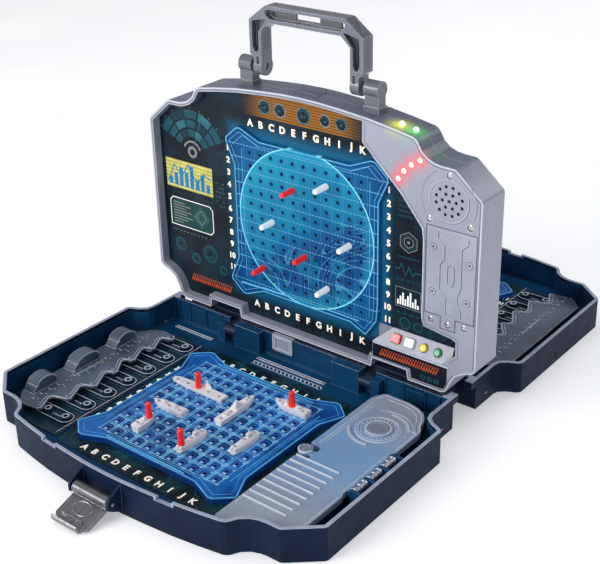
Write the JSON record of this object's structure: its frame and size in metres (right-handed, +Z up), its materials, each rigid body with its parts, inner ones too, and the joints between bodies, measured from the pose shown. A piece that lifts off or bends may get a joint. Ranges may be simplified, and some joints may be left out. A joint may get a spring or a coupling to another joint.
{
  "type": "fleet guessing case",
  "caption": "Two-player naval guessing game in a case: an upright console with peg grids, lights and buttons between two fold-down trays, with handle, latches and ships.",
  "frame": {"origin": "centre of the case's footprint, on the table", "axes": "+X along the tray hinges to the first player's right, -Y towards the first player, +Z up"},
  "size_m": [0.4, 0.6888, 0.3695],
  "materials": {
    "console": "fine moulded texture, satin",
    "spine": "moulded plastic",
    "card": "printed card, semi gloss",
    "grid": "translucent blue plastic",
    "steel": "plated steel",
    "black": "black plastic",
    "cell": "battery jacket",
    "board": "circuit board",
    "led_red": "clear red lens",
    "led_yellow": "clear yellow lens",
    "led_green": "clear green lens",
    "handle": "moulded plastic, satin",
    "button_red": "gloss",
    "button_white": "gloss",
    "button_yellow": "gloss",
    "button_green": "gloss",
    "tray": "dark navy, smooth",
    "rack": "navy, smooth",
    "dock": "grey with a metallic sheen",
    "lid": "pale blue-grey, satin",
    "latch": "gunmetal-coloured plastic",
    "clip": "satin",
    "ship": "light grey",
    "peg_red": "gloss",
    "peg_white": "gloss"
  },
  "bodies": {
    "console": {"front_shell": "console", "rear_shell": "console", "hinge_spine": "spine", "front_art_card": "card", "rear_art_card": "card", "front_target_grid": "grid", "rear_target_grid": "grid", "front_battery_cover": "console", "rear_battery_cover": "console", "case_screws": "steel", "speakers": "black", "batteries": "cell", "circuit_board": "board", "signal_leds": "led_red", "top_led_yellow": "led_yellow", "top_led_green": "led_green", "handle_brackets": "console"},
    "red_target_pegs": {"front_red_target_pegs": "peg_red"},
    "white_target_pegs": {"front_white_target_pegs": "peg_white"},
    "handle": {"handle": "handle"},
    "front_tray": {"front_tray_shell": "tray", "front_ocean_grid": "grid", "front_ocean_card": "card", "front_ship_rack": "rack", "front_dock_plate": "dock", "front_hinge_pins": "steel", "front_latch_pin": "steel", "front_wall_clip": "clip"},
    "front_lid": {"front_deck_lid": "lid"},
    "front_latch": {"front_latch": "latch"},
    "rear_tray": {"rear_tray_shell": "tray", "rear_ocean_grid": "grid", "rear_ocean_card": "card", "rear_ship_rack": "rack", "rear_dock_plate": "dock", "rear_hinge_pins": "steel", "rear_latch_pin": "steel", "rear_wall_clip": "clip"},
    "rear_lid": {"rear_deck_lid": "lid"},
    "rear_latch": {"rear_latch": "latch"},
    "front_red_button": {"front_red_button": "button_red"},
    "front_white_button": {"front_white_button": "button_white"},
    "front_yellow_button": {"front_yellow_button": "button_yellow"},
    "front_green_button": {"front_green_button": "button_green"},
    "rear_red_button": {"rear_red_button": "button_red"},
    "rear_white_button": {"rear_white_button": "button_white"},
    "rear_yellow_button": {"rear_yellow_button": "button_yellow"},
    "rear_green_button": {"rear_green_button": "button_green"},
    "carrier_ship": {"carrier_ship": "ship"},
    "gun_ship": {"gun_ship": "ship"},
    "patrol_boat": {"patrol_boat": "ship"},
    "destroyer_ship": {"destroyer_ship": "ship"},
    "submarine_one": {"submarine_one": "ship"},
    "submarine_two": {"submarine_two": "ship"},
    "cruiser_ship": {"cruiser_ship": "ship"},
    "carrier_peg": {"carrier_peg": "peg_red"},
    "patrol_peg": {"patrol_peg": "peg_red"},
    "submarine_peg": {"submarine_peg": "peg_red"},
    "cruiser_peg": {"cruiser_peg": "peg_red"}
  },
  "joints": [
    {"name": "front_tray_hinge", "type": "hinge", "parent": "console", "child": "front_tray", "pos_m": [0, -0.03, 0.0224], "axis": [-1, 0, 0], "range_deg": [0, 90]},
    {"name": "front_lid_hinge", "type": "hinge", "parent": "front_tray", "child": "front_lid", "pos_m": [0.1846, -0.1565, 0.026], "axis": [0, -1, 0], "range_deg": [-95, 0]},
    {"name": "front_latch_hinge", "type": "hinge", "parent": "front_tray", "child": "front_latch", "pos_m": [0, -0.3095, 0.016], "axis": [-1, 0, 0], "range_deg": [0, 115]},
    {"name": "rear_tray_hinge", "type": "hinge", "parent": "console", "child": "rear_tray", "pos_m": [0, 0.03, 0.0224], "axis": [1, 0, 0], "range_deg": [0, 90]},
    {"name": "rear_lid_hinge", "type": "hinge", "parent": "rear_tray", "child": "rear_lid", "pos_m": [-0.1846, 0.1565, 0.026], "axis": [0, 1, 0], "range_deg": [-95, 0]},
    {"name": "rear_latch_hinge", "type": "hinge", "parent": "rear_tray", "child": "rear_latch", "pos_m": [0, 0.3095, 0.016], "axis": [1, 0, 0], "range_deg": [0, 115]},
    {"name": "handle_hinge", "type": "hinge", "parent": "console", "child": "handle", "pos_m": [0, 0, 0.3085], "axis": [1, 0, 0], "range_deg": [-90, 90]},
    {"name": "front_red_button_press", "type": "slide", "parent": "console", "child": "front_red_button", "axis": [0, 0.8546, -0.5193], "range_m": [0, 0.0016], "stiffness_N_per_m": 300},
    {"name": "front_white_button_press", "type": "slide", "parent": "console", "child": "front_white_button", "axis": [0, 0.8546, -0.5193], "range_m": [0, 0.0016], "stiffness_N_per_m": 300},
    {"name": "front_yellow_button_press", "type": "slide", "parent": "console", "child": "front_yellow_button", "axis": [0, 0.8546, -0.5193], "range_m": [0, 0.0016], "stiffness_N_per_m": 300},
    {"name": "front_green_button_press", "type": "slide", "parent": "console", "child": "front_green_button", "axis": [0, 0.8546, -0.5193], "range_m": [0, 0.0016], "stiffness_N_per_m": 300},
    {"name": "rear_red_button_press", "type": "slide", "parent": "console", "child": "rear_red_button", "axis": [0, -0.8546, -0.5193], "range_m": [0, 0.0016], "stiffness_N_per_m": 300},
    {"name": "rear_white_button_press", "type": "slide", "parent": "console", "child": "rear_white_button", "axis": [0, -0.8546, -0.5193], "range_m": [0, 0.0016], "stiffness_N_per_m": 300},
    {"name": "rear_yellow_button_press", "type": "slide", "parent": "console", "child": "rear_yellow_button", "axis": [0, -0.8546, -0.5193], "range_m": [0, 0.0016], "stiffness_N_per_m": 300},
    {"name": "rear_green_button_press", "type": "slide", "parent": "console", "child": "rear_green_button", "axis": [0, -0.8546, -0.5193], "range_m": [0, 0.0016], "stiffness_N_per_m": 300},
    {"name": "red_peg_pull", "type": "slide", "parent": "console", "child": "red_target_pegs", "axis": [0, 1, 0], "range_m": [-0.03, 0]},
    {"name": "white_peg_pull", "type": "slide", "parent": "console", "child": "white_target_pegs", "axis": [0, 1, 0], "range_m": [-0.03, 0]},
    {"name": "carrier_ship_lift", "type": "slide", "parent": "front_tray", "child": "carrier_ship", "axis": [0, 0, -1], "range_m": [-0.045, 0]},
    {"name": "gun_ship_lift", "type": "slide", "parent": "front_tray", "child": "gun_ship", "axis": [0, 0, -1], "range_m": [-0.045, 0]},
    {"name": "patrol_boat_lift", "type": "slide", "parent": "front_tray", "child": "patrol_boat", "axis": [0, 0, -1], "range_m": [-0.045, 0]},
    {"name": "destroyer_ship_lift", "type": "slide", "parent": "front_tray", "child": "destroyer_ship", "axis": [0, 0, -1], "range_m": [-0.045, 0]},
    {"name": "submarine_one_lift", "type": "slide", "parent": "front_tray", "child": "submarine_one", "axis": [0, 0, -1], "range_m": [-0.045, 0]},
    {"name": "submarine_two_lift", "type": "slide", "parent": "front_tray", "child": "submarine_two", "axis": [0, 0, -1], "range_m": [-0.045, 0]},
    {"name": "cruiser_ship_lift", "type": "slide", "parent": "front_tray", "child": "cruiser_ship", "axis": [0, 0, -1], "range_m": [-0.045, 0]},
    {"name": "carrier_peg_lift", "type": "slide", "parent": "carrier_ship", "child": "carrier_peg", "axis": [0, 0, -1], "range_m": [-0.03, 0]},
    {"name": "patrol_peg_lift", "type": "slide", "parent": "patrol_boat", "child": "patrol_peg", "axis": [0, 0, -1], "range_m": [-0.03, 0]},
    {"name": "submarine_peg_lift", "type": "slide", "parent": "submarine_one", "child": "submarine_peg", "axis": [0, 0, -1], "range_m": [-0.03, 0]},
    {"name": "cruiser_peg_lift", "type": "slide", "parent": "cruiser_ship", "child": "cruiser_peg", "axis": [0, 0, -1], "range_m": [-0.03, 0]}
  ]
}
